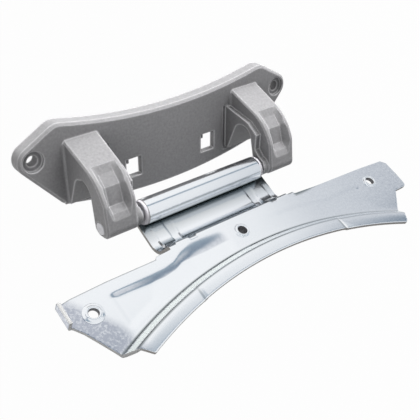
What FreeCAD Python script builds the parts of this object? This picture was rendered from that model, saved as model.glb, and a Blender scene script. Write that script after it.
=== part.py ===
import FreeCAD, Part
import math
import os

# Washing machine door hinge. A cast bracket is screwed to the cabinet and carries
# a steel pin between two arms. A pressed door plate turns on the pin in two
# plastic bushes. It is drawn lying down, with X along the pin, Y along the screws
# and Z towards the middle of the door opening. Its origin is midway between the
# two screw holes on the bracket's rear face. At the end it is stood upright, as it
# hangs on the machine: the pin along Z and the door opening towards +X.

# Bracket flange
flangeDepth = 6.5
webThickness = 3.2
rimWall = 2.8
screwSpacing = 140.0
screwHole = 5.0
screwCounterbore = 9.6
counterboreDepth = 1.6
earRadius = 6.9
topMiddle = 7.5
topRadius = 250.0
topCornerX = 58.5
topCornerRound = 9.0
bottomMiddle = -31.8
bottomRadius = 246.0
bottomCornerX = 58.0
bottomCornerRound = 6.0
frontBevel = 1.2
rearPocketHalf = 33.0
rearRibX = 9.5
rearRibWidth = 2.0
rearPocketRound = 2.5

# Square windows through the web: left edge, right edge, and heights
windowSides = ((-25.2, -16.6), (19.2, 27.8))
windowTop = -13.3
windowBottom = -23.0
windowNotchWidth = 2.2
windowNotchHeight = 2.7
windowNotchStep = 1.2

# Arms: forward is measured from the flange's front face, drop from the hole line.
# The side view is a list of shares of the pin's forward and drop.
armInner = 38.6
armOuter = 55.8
armTaper = 0.7
armRootRound = 0.9
armBevel = 0.8
pinForward = 24.2
pinDrop = 26.7
armRoot = (-0.08, -0.243)
armShoulder = (0.661, 0.037)
armBrow = (1.0, 0.258)
armNose = (1.194, 0.562)
armFront = (1.244, 0.945)
bossCorner = (1.219, 1.084)
bossBottom = (1.116, 1.15)
bossHeel = (0.885, 1.106)
bossBack = (0.815, 1.0)
neckBack = (0.760, 0.547)
archBack = (0.678, 0.390)
archTop = (0.488, 0.330)
archFront = (0.351, 0.360)
archFoot = (0.260, 0.457)
strapEnd = (0.041, 0.929)
pocketFloor = (
    (0.686, 0.052),
    (0.777, 0.180),
    (0.950, 0.333),
    (1.050, 0.637),
    (1.165, 0.722),
    (1.232, 0.830),
    (1.252, 0.950),
)
pocketMouth = (
    (0.686, 0.052),
    (0.760, 0.085),
    (1.035, 0.275),
    (1.185, 0.562),
    (1.232, 0.700),
    (1.246, 0.830),
    (1.252, 0.950),
)
pocketFar = 1.5
pocketHigh = -0.15
lipEdge = (
    (-0.041, 0.090),
    (0.653, 0.243),
    (0.905, 0.408),
    (0.893, 0.697),
    (1.033, 0.828),
    (1.0, 0.974),
    (0.860, 0.955),
)
pocketRib = 2.8
pocketDraft = 2.2
lipHeight = 2.5
hubRadius = 4.7
stepX = 33.6
stepDepth = 1.0
stepTop = -1.8
stepBottom = -25.6
stepFromOuter = 3.2

# Pin and bushes
pinDiameter = 6.0
pinProud = 0.4
pinChamfer = 0.4
runningClearance = 0.05
sheet = 1.5
knuckleRadius = 5.9
knuckleHalf = 32.0
doorShift = 0.7
bushFlange = 1.6
bushFlangeRadius = 5.6
bushDepth = 9.0

# Door plate: distances along the plate are from the pin, heights are along its normal
plateTilt = 25.0
plateHeight = 5.4
troughHalf = 37.2
troughSlope = 30.0
troughRise = 48.0
troughBend = 7.25
crestBend = 1.25
crestAlong = 22.7
seamAngle = 250.0
edgeAlong = 23.1
edgeSlope = 0.041
bandRaise = 1.0
bandMiddle = 22.3
bandOuter = (26.4, 33.3)
rimAlong = 38.7
rimFoot = 199.8
rimRamp = 3.8
rimFlat = 6.1
rimHeight = 4.4
rimMiddleExtra = 0.7
rimMiddle = (-38.5, 42.0)
rimJoggle = 3.2
rimBend = 1.4
leftEnd = 93.3
rightEnd = 101.2
rimLeftInset = 12.4
rimRightInset = 19.2
rimLeftSteps = ((5.7, 2.3), (9.5, 6.4))
rimRightSteps = ((2.0, 3.7), (4.2, 7.4))
rimLeftRound = 2.0
rimRightRound = 4.6
hookDepth = 18.6
hookStep = 9.6
hookCorner = 1.6
endCorner = 2.8
doorHoles = ((-81.4, 36.0), (-1.6, 30.4), (81.4, 35.2))
doorHole = 4.2
collarDiameter = 7.0
collarHeight = 0.9
dishDiameter = 9.8
dishHeight = 0.4
tabFrom = 27.9
tabLength = 9.6
tabHeight = 4.4
tabStep = 2.4
pressDepth = 0.9
pressTop = 31.4
pressEnd = 70.6
pressNarrow = 46.5
pressShift = 3.0
pressMiddle = 35.5
pressFade = 9.0
pressDrops = (18.0, 14.6)
pressPoint = (54.6, 41.3)
pressSlope = 1.6

# A cutting shape reaches this far past what it cuts, and two places nearer than same are one
past = 1.0
same = 0.01

halfSpacing = screwSpacing / 2
armSpan = armOuter - armInner
pinRadius = pinDiameter / 2
knuckleBore = knuckleRadius - sheet
rimTop = rimFoot - rimRamp
rimFree = rimTop - rimFlat
rimCentre = rimAlong + rimFoot
rimLeftX = leftEnd - rimLeftInset
rimRightX = rightEnd - rimRightInset
tabTo = tabFrom + tabLength
pinCentre = FreeCAD.Vector(0, -flangeDepth - pinForward, -pinDrop)


def path(start, *steps):
    """A wire from start: each step is (end,) for a line or (middle, end) for an arc."""
    edges = []
    here = start
    for step in steps:
        if len(step) == 1:
            edges.append(Part.makeLine(here, step[0]))
        else:
            edges.append(Part.Arc(here, step[0], step[1]).toShape())
        here = step[-1]
    return Part.Wire(edges)


def tangentPoint(pointX, pointZ, centreX, centreZ, radius, sign):
    """The point where a line from the given point touches the circle."""
    reach = math.hypot(pointX - centreX, pointZ - centreZ)
    angle = math.atan2(pointZ - centreZ, pointX - centreX)
    angle += sign * math.acos(radius / reach)
    return centreX + radius * math.cos(angle), centreZ + radius * math.sin(angle)


def mirrored(shape):
    return shape.mirror(FreeCAD.Vector(0, 0, 0), FreeCAD.Vector(1, 0, 0))


def block(x0, x1, y0, y1, z0, z1):
    return Part.makeBox(x1 - x0, y1 - y0, z1 - z0, FreeCAD.Vector(x0, y0, z0))


def rod(radius, start, along):
    """A cylinder from start, as long as the vector along."""
    return Part.makeCylinder(radius, along.Length, start, along)


def flat(x, z):
    return FreeCAD.Vector(x, 0, z)


def bowed(middle, radius, x):
    """Height of a long arc with its centre above, at distance x from the middle."""
    return middle + radius - math.sqrt(radius * radius - x * x)


def side(place, x=0):
    """A point of the arm's side view, from its shares of the pin's forward and drop."""
    return FreeCAD.Vector(x, -flangeDepth - place[0] * pinForward, -place[1] * pinDrop)


def acrossX(wire, x0, x1):
    face = Part.Face(wire)
    face.translate(FreeCAD.Vector(x0, 0, 0))
    return face.extrude(FreeCAD.Vector(x1 - x0, 0, 0))


def bentSide(corners, bends, offset):
    """One side of a bent strip: the middle line moved by offset, with its bends as arcs."""
    groups = []
    last = len(corners) - 1
    for index, (a, b) in enumerate(corners):
        if index in (0, last):
            first = corners[max(index - 1, 0)]
            second = corners[min(index + 1, last)]
            length = math.hypot(second[0] - first[0], second[1] - first[1])
            acrossA = -(second[1] - first[1]) / length
            acrossB = (second[0] - first[0]) / length
            groups.append([(a + acrossA * offset, b + acrossB * offset)])
            continue
        before = corners[index - 1]
        after = corners[index + 1]
        lengthIn = math.hypot(a - before[0], b - before[1])
        lengthOut = math.hypot(after[0] - a, after[1] - b)
        inA, inB = (a - before[0]) / lengthIn, (b - before[1]) / lengthIn
        outA, outB = (after[0] - a) / lengthOut, (after[1] - b) / lengthOut
        turn = math.atan2(inA * outB - inB * outA, inA * outA + inB * outB)
        sign = 1 if turn > 0 else -1
        radius = bends[index - 1]
        setback = radius * math.tan(abs(turn) / 2)
        startA, startB = a - inA * setback, b - inB * setback
        centreA, centreB = startA - inB * sign * radius, startB + inA * sign * radius
        begin = math.atan2(startB - centreB, startA - centreA)
        size = radius - sign * offset
        points = []
        for share in (0, 0.5, 1):
            angle = begin + turn * share
            points.append((centreA + size * math.cos(angle), centreB + size * math.sin(angle)))
        groups.append(points)
    return groups


def stripFace(corners, bends, below, above, place):
    """Face of a bent strip; place turns an (a, b) pair into a point."""
    edges = []
    ends = []
    for groups in (bentSide(corners, bends, -below), bentSide(corners, bends, above)):
        here = None
        for group in groups:
            points = [place(a, b) for a, b in group]
            if here is not None:
                edges.append(Part.makeLine(here, points[0]))
            if len(points) == 3:
                edges.append(Part.Arc(*points).toShape())
            here = points[-1]
        ends.append((place(*groups[0][0]), here))
    edges.append(Part.makeLine(ends[0][0], ends[1][0]))
    edges.append(Part.makeLine(ends[0][1], ends[1][1]))
    return Part.Face(Part.Wire(Part.__sortEdges__(edges)))


# Flange: an arched band with an ear round each screw
def flangeOutline():
    topZ = bowed(topMiddle, topRadius, topCornerX)
    bottomZ = bowed(bottomMiddle, bottomRadius, bottomCornerX)
    upX, upZ = tangentPoint(topCornerX, topZ, halfSpacing, 0, earRadius, -1)
    downX, downZ = tangentPoint(bottomCornerX, bottomZ, halfSpacing, 0, earRadius, 1)
    tipX = halfSpacing + earRadius
    return path(
        flat(-topCornerX, topZ),
        (flat(0, topMiddle), flat(topCornerX, topZ)),
        (flat(upX, upZ),),
        (flat(tipX, 0), flat(downX, downZ)),
        (flat(bottomCornerX, bottomZ),),
        (flat(0, bottomMiddle), flat(-bottomCornerX, bottomZ)),
        (flat(-downX, downZ),),
        (flat(-tipX, 0), flat(-upX, upZ)),
        (flat(-topCornerX, topZ),),
    )


def flangeBody():
    body = Part.Face(flangeOutline()).extrude(FreeCAD.Vector(0, -flangeDepth, 0))
    for cornerX, radius, high in (
        (topCornerX, topCornerRound, True),
        (bottomCornerX, bottomCornerRound, False),
    ):
        edges = []
        for edge in body.Edges:
            ends = [v.Point for v in edge.Vertexes]
            if len(ends) < 2 or abs(ends[0].y - ends[1].y) < flangeDepth / 2:
                continue
            if abs(abs(ends[0].x) - cornerX) < same and (ends[0].z > 0) == high:
                edges.append(edge)
        body = body.makeFillet(radius, edges)
    front = [
        edge for edge in body.Edges
        if edge.BoundBox.YLength < same and abs(edge.BoundBox.YMin + flangeDepth) < same
    ]
    return body.makeChamfer(frontBevel, front)


# Arm: a swan neck in side view, with an open arch behind the neck
def archSteps():
    inside = (armRoot[0], strapEnd[1])
    return (
        (side(archBack), side(archTop)),
        (side(archFront), side(archFoot)),
        (side(strapEnd),),
        (side(inside),),
    )


def armOutline():
    return path(
        side(armRoot),
        (side(armShoulder),),
        (side(armBrow), side(armNose)),
        (side(armFront),),
        (side(bossCorner), side(bossBottom)),
        (side((1.0, bossBottom[1])),),
        (side(bossHeel), side(bossBack)),
        (side(neckBack),),
        *archSteps(),
        (side(armRoot),),
    )


def pocketProfile(x, depth):
    """Front pocket in side view; depth 1 is its floor and 0 lies at the arm's surface."""
    points = []
    for deep, shallow in zip(pocketFloor, pocketMouth):
        forward = shallow[0] + (deep[0] - shallow[0]) * depth
        drop = shallow[1] + (deep[1] - shallow[1]) * depth
        points.append(side((forward, drop), x))
    points.append(side((pocketFar, pocketFloor[-1][1]), x))
    points.append(side((pocketFar, pocketHigh), x))
    points.append(side((pocketFloor[0][0], pocketHigh), x))
    return Part.makePolygon(points + [points[0]])


def pocketCutter():
    inner = armInner + pocketRib
    outer = armOuter - pocketRib
    middle = acrossX(pocketProfile(0, 1), inner + pocketDraft, outer - pocketDraft)
    near = Part.makeLoft([pocketProfile(inner, 0), pocketProfile(inner + pocketDraft, 1)], True, True)
    far = Part.makeLoft([pocketProfile(outer - pocketDraft, 1), pocketProfile(outer, 0)], True, True)
    return middle.fuse([near, far])


def innerLip():
    """Raised band along the arch on the arm's inner face, ending in a hub round the pin."""
    outline = path(
        side(lipEdge[0]),
        *[(side(place),) for place in lipEdge[1:]],
        (side(neckBack),),
        *archSteps(),
        (side(lipEdge[0]),),
    )
    lip = acrossX(outline, armInner - lipHeight, armInner + 2 * past)
    start = pinCentre + FreeCAD.Vector(armInner - lipHeight, 0, 0)
    return lip.fuse(rod(hubRadius, start, FreeCAD.Vector(lipHeight + 1.5 * past, 0, 0)))


def taperCutter(x, outward):
    """Thin wedge off one side of the arm, nothing at the root and armTaper at the front."""
    root = -flangeDepth - armRootRound - past
    front = -flangeDepth - armFront[0] * pinForward
    beyond = front - 5 * past
    far = x + outward * 5 * past
    slim = x - outward * armTaper
    points = [
        FreeCAD.Vector(a, b, -2 * pinDrop)
        for a, b in ((x, root), (slim, front), (slim, beyond), (far, beyond), (far, root), (x, root))
    ]
    return Part.Face(Part.makePolygon(points)).extrude(FreeCAD.Vector(0, 0, 3 * pinDrop))


def bevelledFront(arm):
    """The arm with its long front edges bevelled, from the flange down to the boss."""
    front = path(
        side(armShoulder),
        (side(armBrow), side(armNose)),
        (side(armFront),),
        (side(bossCorner), side(bossBottom)),
        (side((1.0, bossBottom[1])),),
    )
    edges = []
    for edge in arm.Edges:
        middle = edge.valueAt((edge.FirstParameter + edge.LastParameter) / 2)
        flatMiddle = Part.Vertex(FreeCAD.Vector(0, middle.y, middle.z))
        if edge.BoundBox.XLength < 2 * armTaper and front.distToShape(flatMiddle)[0] < 2 * same:
            edges.append(edge)
    return arm.makeChamfer(armBevel, edges)


def oneArm():
    """One arm with a small fillet where it leaves the flange's front face."""
    face = -flangeDepth
    low = side(strapEnd).z
    high = side(armRoot).z
    arm = acrossX(armOutline(), armInner, armOuter)
    arm = arm.cut([taperCutter(armInner, -1), taperCutter(armOuter, 1)])
    arm = bevelledFront(arm)
    base = block(
        armInner - 6 * past, armOuter + 6 * past, face, face + 4 * past, low - 2 * past, high + 8 * past
    )
    arm = arm.fuse(base).removeSplitter()
    roots = []
    for edge in arm.Edges:
        box = edge.BoundBox
        if abs(box.YMin - face) > same or box.YLength > same:
            continue
        onSide = box.XLength < same and min(abs(box.XMin - armInner), abs(box.XMin - armOuter)) < same
        acrossTop = box.ZLength < same and box.XLength > armSpan - armRootRound
        onTop = acrossTop and high - armSpan / 6 < box.ZMin < high
        if onSide or onTop:
            roots.append(edge)
    arm = arm.makeFillet(armRootRound, roots)
    left = armInner - armRootRound - past
    right = armOuter + armRootRound + past
    deep = -2 * pinDrop
    keep = block(left, right, 2 * (face - pinForward), face + past, deep, high + armRootRound + past)
    under = block(left - past, right + past, face - armRootRound, face + 2 * past, deep, low)
    return arm.common(keep).cut([under, pocketCutter()])


def bracketCasting():
    body = flangeBody()
    arms = oneArm()
    body = body.fuse([arms, mirrored(arms)]).removeSplitter()
    lip = innerLip()
    body = body.fuse([lip, mirrored(lip)])
    for sign in (1, -1):
        x0, x1 = sorted((sign * stepX, sign * (armOuter - stepFromOuter)))
        recess = block(x0, x1, -flangeDepth - 2 * past, -flangeDepth + stepDepth, stepBottom, stepTop)
        recess = recess.cut([lip, mirrored(lip), arms, mirrored(arms)])
        screw = rod(
            screwHole / 2,
            FreeCAD.Vector(sign * halfSpacing, past, 0),
            FreeCAD.Vector(0, -flangeDepth - 2 * past, 0),
        )
        seat = rod(
            screwCounterbore / 2,
            FreeCAD.Vector(sign * halfSpacing, -flangeDepth + counterboreDepth, 0),
            FreeCAD.Vector(0, -counterboreDepth - past, 0),
        )
        body = body.cut([recess, screw, seat])
    body = body.cut(rearPocket())
    for left, right in windowSides:
        window = block(left, right, -flangeDepth - past, past, windowBottom, windowTop)
        corner = block(
            left - past,
            left + windowNotchWidth,
            -flangeDepth + windowNotchStep,
            -flangeDepth + webThickness,
            windowTop - windowNotchHeight,
            windowTop + past,
        )
        body = body.cut(window.cut(corner))
    reach = FreeCAD.Vector(armOuter + 2 * past, 0, 0)
    return body.cut(rod(pinRadius, pinCentre - reach, 2 * reach)).removeSplitter()


def rearPocket():
    """The hollow behind the web, with two upright ribs left standing in it."""
    depth = flangeDepth - webThickness
    top = topMiddle - rimWall
    bottom = bottomMiddle + rimWall
    half = rearPocketHalf
    outline = path(
        flat(-half, bowed(top, topRadius, half)),
        (flat(0, top), flat(half, bowed(top, topRadius, half))),
        (flat(half, bowed(bottom, bottomRadius, half)),),
        (flat(0, bottom), flat(-half, bowed(bottom, bottomRadius, half))),
        (flat(-half, bowed(top, topRadius, half)),),
    )
    pocket = Part.Face(outline).extrude(FreeCAD.Vector(0, -depth, 0))
    uprights = [edge for edge in pocket.Edges if edge.BoundBox.YLength > depth - same]
    pocket = pocket.makeFillet(rearPocketRound, uprights)
    ribs = []
    for sign in (1, -1):
        left = sign * rearRibX - rearRibWidth / 2
        ribs.append(block(left, left + rearRibWidth, -depth - past, past, 2 * bottomMiddle, 2 * topMiddle))
    return pocket.cut(ribs)


# Knuckle and trough: one strip of the sheet, rolled round the bushes and then bent
def aroundPin(a, b):
    return pinCentre + FreeCAD.Vector(0, a, b)


def polar(radius, degrees):
    angle = math.radians(degrees)
    return radius * math.cos(angle), radius * math.sin(angle)


def knuckle():
    outer, inner = knuckleRadius, knuckleBore
    last = -90 + troughSlope
    alongA, alongB = -math.cos(math.radians(troughSlope)), -math.sin(math.radians(troughSlope))
    run = 4.6
    outA, outB = polar(outer, last)
    inA, inB = polar(inner, last)
    middle = (seamAngle + last) / 2
    wire = path(
        aroundPin(*polar(outer, seamAngle)),
        (aroundPin(*polar(outer, middle)), aroundPin(outA, outB)),
        (aroundPin(outA + alongA * run, outB + alongB * run),),
        (aroundPin(inA + alongA * run, inB + alongB * run),),
        (aroundPin(inA, inB),),
        (aroundPin(*polar(inner, middle)), aroundPin(*polar(inner, seamAngle))),
        (aroundPin(*polar(outer, seamAngle)),),
    )
    return acrossX(wire, -knuckleHalf, knuckleHalf)


def trough():
    middleRadius = knuckleRadius - sheet / 2
    tilt = math.radians(plateTilt)
    slope = math.radians(troughSlope)
    rise = math.radians(troughRise)
    alongA, alongB = -math.cos(slope), -math.sin(slope)
    touchA, touchB = polar(middleRadius, -90 + troughSlope)
    startRun = touchA / math.cos(slope)
    start = (touchA + alongA * startRun, touchB + alongB * startRun)
    height = plateHeight - sheet / 2
    crest = (
        -height * math.sin(tilt) - crestAlong * math.cos(tilt),
        height * math.cos(tilt) - crestAlong * math.sin(tilt),
    )
    backA, backB = math.cos(rise), -math.sin(rise)
    fromStart = (crest[0] - start[0], crest[1] - start[1])
    reach = (fromStart[0] * alongB - fromStart[1] * alongA) / (backB * alongA - backA * alongB)
    bottom = (crest[0] + backA * reach, crest[1] + backB * reach)
    end = (crest[0] - math.cos(tilt) * 3.0, crest[1] - math.sin(tilt) * 3.0)
    backLength = math.hypot(bottom[0] - start[0], bottom[1] - start[1])
    inA = (start[0] - bottom[0]) / backLength - backA
    inB = (start[1] - bottom[1]) / backLength - backB
    inward = bandRaise / math.hypot(inA, inB)
    raised = (bottom[0] + inA * inward, bottom[1] + inB * inward)
    inner, outer = bandOuter
    stops = (-troughHalf, -outer, -inner, -bandMiddle, bandMiddle, inner, outer, troughHalf)
    pieces = []
    for index, (left, right) in enumerate(zip(stops, stops[1:])):
        low = bottom if index % 2 == 0 else raised
        face = stripFace([start, low, crest, end], [troughBend, crestBend], sheet / 2, sheet / 2, aroundPin)
        face.translate(FreeCAD.Vector(left, 0, 0))
        pieces.append(face.extrude(FreeCAD.Vector(right - left, 0, 0)))
    return pieces


# Plate: built flat with its forward side towards -Y, then tilted about the pin
def sheetPoint(x, along):
    return FreeCAD.Vector(x, -along, plateHeight - sheet)


def edgeAt(x):
    return edgeAlong + edgeSlope * abs(x)


def onArc(radius, x):
    return rimCentre - math.sqrt(radius * radius - x * x)


def plateOutline():
    start = crestAlong + 1.2
    hookAlong = edgeAt(rightEnd) + hookDepth
    hookX = rightEnd - 1.0
    bend = hookCorner * 0.3
    leftFoot = onArc(rimFoot, rimLeftX)
    rightFoot = onArc(rimFoot, rimRightX)
    stepX = leftEnd - tabStep
    stepAlong = tabTo + 0.6
    bulgeX = (stepX + rimLeftX) / 2 + 0.4
    bulgeAlong = (stepAlong + leftFoot) / 2 + 0.3
    return path(
        sheetPoint(-troughHalf, start),
        (sheetPoint(-troughHalf, edgeAt(troughHalf)),),
        (sheetPoint(-leftEnd + endCorner, edgeAt(leftEnd)),),
        (sheetPoint(-leftEnd, tabFrom),),
        (sheetPoint(-leftEnd, tabTo),),
        (sheetPoint(-stepX, stepAlong),),
        (sheetPoint(-bulgeX, bulgeAlong), sheetPoint(-rimLeftX, leftFoot)),
        (sheetPoint(0, onArc(rimFoot, 0)), sheetPoint(rimRightX, rightFoot)),
        (sheetPoint(rightEnd - hookStep, hookAlong),),
        (sheetPoint(hookX - hookCorner, hookAlong),),
        (sheetPoint(hookX - bend, hookAlong - bend), sheetPoint(hookX, hookAlong - hookCorner)),
        (sheetPoint(rightEnd, edgeAt(rightEnd) + endCorner),),
        (sheetPoint(rightEnd - endCorner, edgeAt(rightEnd)),),
        (sheetPoint(troughHalf, edgeAt(troughHalf)),),
        (sheetPoint(troughHalf, start),),
        (sheetPoint(-troughHalf, start),),
    )


def rimOutline():
    """The rim seen from above, with its slanted ends and rounded free corners."""
    lap = 2.5
    leftFoot = onArc(rimFoot, rimLeftX)
    rightFoot = onArc(rimFoot, rimRightX)
    (a0, b0), (a1, b1) = rimLeftSteps
    (c0, d0), (c1, d1) = rimRightSteps
    leftX, rightX = rimLeftX - a1 - rimLeftRound, rimRightX - c1 - rimRightRound
    leftFree, rightFree = onArc(rimFree, leftX), onArc(rimFree, rightX)
    leftMiddle = (leftX + rimLeftRound / 2, (leftFree + leftFoot + b1) / 2 + 0.2 * rimLeftRound)
    rightMiddle = (rightX + rimRightRound / 2, (rightFree + rightFoot + d1) / 2 + 0.25 * rimRightRound)
    return path(
        sheetPoint(-rimLeftX, leftFoot - lap),
        (sheetPoint(-rimLeftX, leftFoot),),
        (sheetPoint(-rimLeftX + a0, leftFoot + b0),),
        (sheetPoint(-rimLeftX + a1, leftFoot + b1),),
        (sheetPoint(-leftMiddle[0], leftMiddle[1]), sheetPoint(-leftX, leftFree)),
        (sheetPoint(0, onArc(rimFree, 0)), sheetPoint(rightX, rightFree)),
        (sheetPoint(*rightMiddle), sheetPoint(rimRightX - c1, rightFoot + d1)),
        (sheetPoint(rimRightX - c0, rightFoot + d0),),
        (sheetPoint(rimRightX, rightFoot),),
        (sheetPoint(rimRightX, rightFoot - lap),),
        (sheetPoint(0, onArc(rimFoot, 0) - lap), sheetPoint(-rimLeftX, leftFoot - lap)),
    )


def raisedRim():
    """The arched rim: a ramp up from the plate and a flat top, turned about the glass centre.
    Its middle stretch stands a little higher than its ends."""
    low = plateHeight - sheet / 2
    axis = FreeCAD.Vector(0, -rimCentre, 0)
    up = FreeCAD.Vector(0, 0, 1)

    def place(radius, height):
        return FreeCAD.Vector(0, radius - rimCentre, height)

    def profile(x, height):
        corners = [(rimFoot + 2.0, low), (rimFoot, low), (rimTop, low + height), (rimFree, low + height)]
        face = stripFace(corners, [rimBend, rimBend], sheet / 2, sheet / 2, place)
        face.rotate(axis, up, -math.degrees(math.asin(x / rimFoot)))
        return face

    def stretch(fromX, toX, height):
        turn = math.degrees(math.asin(toX / rimFoot) - math.asin(fromX / rimFoot))
        return profile(fromX, height).revolve(axis, up, -turn)

    def joggle(fromX, toX):
        ends = [profile(fromX, rimHeight), profile(toX, rimHeight + rimMiddleExtra)]
        return Part.makeLoft([face.OuterWire for face in ends], True, True)

    left, right = rimMiddle
    rim = stretch(left, right, rimHeight + rimMiddleExtra)
    rim = rim.fuse([
        stretch(-rimLeftX, left - rimJoggle, rimHeight),
        joggle(left - rimJoggle, left),
        joggle(right + rimJoggle, right),
        stretch(right + rimJoggle, rimRightX, rimHeight),
    ]).removeSplitter()
    seen = Part.Face(rimOutline()).extrude(FreeCAD.Vector(0, 0, plateHeight + 3 * rimHeight))
    return rim.common(seen)


def pressedRecess(sign, drop):
    """A shallow recess pressed into the plate beside the middle hole. It is steep along its
    upper side, and its floor rises towards its lower side and towards the middle hole.
    Each of its two stretches is lofted from its edge at the surface to its plane floor."""
    low = pressTop + drop
    pointX, pointAlong = pressPoint
    slope = pressSlope
    lift = 0.02

    def fall(x, along):
        return pressDepth * (1 - 0.8 * (along - pressTop) / drop)

    def fade(x, along):
        return pressDepth * (x - pressFade) / (pressNarrow - pressFade)

    firstX = pressFade + slope
    firstSlope = 2 * slope * (fade(firstX, 0) + lift) / (fade(pressMiddle, 0) + lift)
    wide = (
        (pressNarrow - 0.5, pressTop + slope * 2, 0, 0),
        (pressNarrow, pressTop, 0, slope),
        (pressEnd, pressTop, -slope, slope),
        (pressEnd + 0.8, low - 1.2, -slope, -slope),
        (pressEnd - 2.4, low, -slope, -slope),
        (pointX, pointAlong + drop - pressDrops[1], 0, -slope),
    )
    narrow = (
        (pressFade, pressTop - pressShift, slope, firstSlope),
        (pressMiddle, pressTop - pressShift, 0, 2 * slope),
        (pressNarrow + 1.0, pressTop, 0, slope),
        (pressNarrow + 1.0, pressTop + 3 * slope, 0, -0.6),
        (pressMiddle, pressTop + slope, 0, -0.6),
    )

    shapes = []
    for corners, depth in ((wide, fall), (narrow, fade)):
        top = [FreeCAD.Vector(sign * x, -along, plateHeight + lift) for x, along, a, b in corners]
        floor = [
            FreeCAD.Vector(sign * (x + a), -along - b, plateHeight - depth(x + a, along + b))
            for x, along, a, b in corners
        ]
        rings = [Part.makePolygon(points + points[:1]) for points in (top, floor)]
        shapes.append(Part.makeLoft(rings, True, True))
    return shapes[0].fuse(shapes[1])


def endTab():
    """The plate's left end, bent up."""
    base = plateHeight - sheet
    bend = sheet + 0.6
    upright = block(-leftEnd, -leftEnd + sheet, -tabTo, -tabFrom, base, plateHeight + tabHeight)
    foot = block(-leftEnd, -leftEnd + bend, -tabTo, -tabFrom, base, base + bend)
    hollow = rod(
        bend - sheet, FreeCAD.Vector(-leftEnd + bend, -tabTo, base + bend), FreeCAD.Vector(0, tabLength, 0)
    )
    tab = upright.fuse(foot.cut(hollow)).removeSplitter()
    corner = []
    for edge in tab.Edges:
        box = edge.BoundBox
        if abs(box.XMax + leftEnd) < same and abs(box.ZMax - base) < same and box.YLength > tabLength / 2:
            corner.append(edge)
    return tab.makeFillet(bend - 0.3, corner)


def tilted(shape):
    shape.rotate(FreeCAD.Vector(0, 0, 0), FreeCAD.Vector(1, 0, 0), plateTilt)
    shape.translate(pinCentre)
    return shape


def doorPlate():
    up = FreeCAD.Vector(0, 0, 1)
    plate = Part.Face(plateOutline()).extrude(FreeCAD.Vector(0, 0, sheet))
    for sign, drop in zip((1, -1), pressDrops):
        recess = pressedRecess(sign, drop)
        under = recess.copy()
        under.translate(up * -sheet)
        plate = plate.fuse(under).cut(recess)
    plate = plate.fuse([raisedRim(), endTab()])
    for x, along in doorHoles:
        top = FreeCAD.Vector(x, -along, plateHeight)
        plate = plate.fuse(rod(collarDiameter / 2, top, up * collarHeight))
        if abs(x) > knuckleHalf:
            plate = plate.fuse(rod(dishDiameter / 2, top, up * dishHeight))
        plate = plate.cut(rod(doorHole / 2, top - up * 2 * sheet, up * (3 * sheet + collarHeight)))
    plate = tilted(plate)
    plate = plate.fuse([*trough(), knuckle()]).removeSplitter()
    plate.translate(FreeCAD.Vector(doorShift, 0, 0))
    return plate


def hingePin():
    half = FreeCAD.Vector(armOuter + pinProud, 0, 0)
    pin = rod(pinRadius, pinCentre - half, 2 * half)
    return pin.makeChamfer(pinChamfer, [edge for edge in pin.Edges if edge.BoundBox.XLength < same])


def bush(sign):
    """One flanged bush in the knuckle's end; sign says which end."""
    along = FreeCAD.Vector(sign, 0, 0)
    start = pinCentre + FreeCAD.Vector(doorShift, 0, 0) + along * (knuckleHalf - bushDepth)
    rim = start + along * bushDepth
    body = rod(knuckleBore, start, along * bushDepth)
    body = body.fuse(rod(bushFlangeRadius, rim, along * bushFlange))
    through = along * (bushDepth + bushFlange + 2 * past)
    return body.cut(rod(pinRadius + runningClearance, start - along * past, through)).removeSplitter()


nodes = {
    "bracket_casting": bracketCasting(),
    "hinge_pin": hingePin(),
    "door_plate": doorPlate(),
    "bush_lower": bush(1),
    "bush_upper": bush(-1),
}
os.makedirs("parts", exist_ok=True)
for name, shape in nodes.items():
    shape.rotate(FreeCAD.Vector(0, 0, 0), FreeCAD.Vector(0, 1, 0), 90)
    box = shape.BoundBox
    corners = (box.XMin, box.XMax, box.YMin, box.YMax, box.ZMin, box.ZMax)
    print(name, "valid", shape.isValid(), "solids", len(shape.Solids), "volume", round(shape.Volume, 1))
    print("   x %.1f %.1f y %.1f %.1f z %.1f %.1f" % corners)
    shape.exportStep("parts/%s.step" % name)
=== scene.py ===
import bpy
import numpy as np
from mathutils import Matrix, Vector


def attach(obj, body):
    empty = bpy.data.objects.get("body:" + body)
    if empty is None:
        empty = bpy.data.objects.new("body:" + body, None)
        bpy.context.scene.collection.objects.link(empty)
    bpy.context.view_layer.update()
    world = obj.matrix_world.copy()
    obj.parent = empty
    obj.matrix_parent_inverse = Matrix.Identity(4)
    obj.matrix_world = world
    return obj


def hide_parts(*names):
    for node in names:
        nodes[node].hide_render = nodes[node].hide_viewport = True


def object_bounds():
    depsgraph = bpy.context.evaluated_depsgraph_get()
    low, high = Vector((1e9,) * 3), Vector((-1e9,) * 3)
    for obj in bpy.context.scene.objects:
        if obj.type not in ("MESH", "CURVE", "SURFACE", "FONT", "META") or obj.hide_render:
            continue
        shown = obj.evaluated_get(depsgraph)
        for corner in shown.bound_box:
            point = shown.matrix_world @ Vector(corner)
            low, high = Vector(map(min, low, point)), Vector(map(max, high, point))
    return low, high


# Washing machine door hinge: a grey cast bracket, a steel pin and a zinc-plated door plate
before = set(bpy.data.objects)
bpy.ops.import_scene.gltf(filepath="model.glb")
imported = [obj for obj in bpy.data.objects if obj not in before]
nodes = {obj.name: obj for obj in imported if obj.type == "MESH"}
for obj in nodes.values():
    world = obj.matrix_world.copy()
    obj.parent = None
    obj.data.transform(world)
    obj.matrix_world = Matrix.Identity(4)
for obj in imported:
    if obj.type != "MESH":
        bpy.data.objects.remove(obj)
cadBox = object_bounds()
print("frame loaded")


# Soft step: 0 at start, 1 at end, and a smooth cubic between. With end below start it falls.
def softStep(value, start, end):
    share = np.clip((value - start) / (end - start), 0, 1)
    return share * share * (3 - 2 * share)


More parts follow.
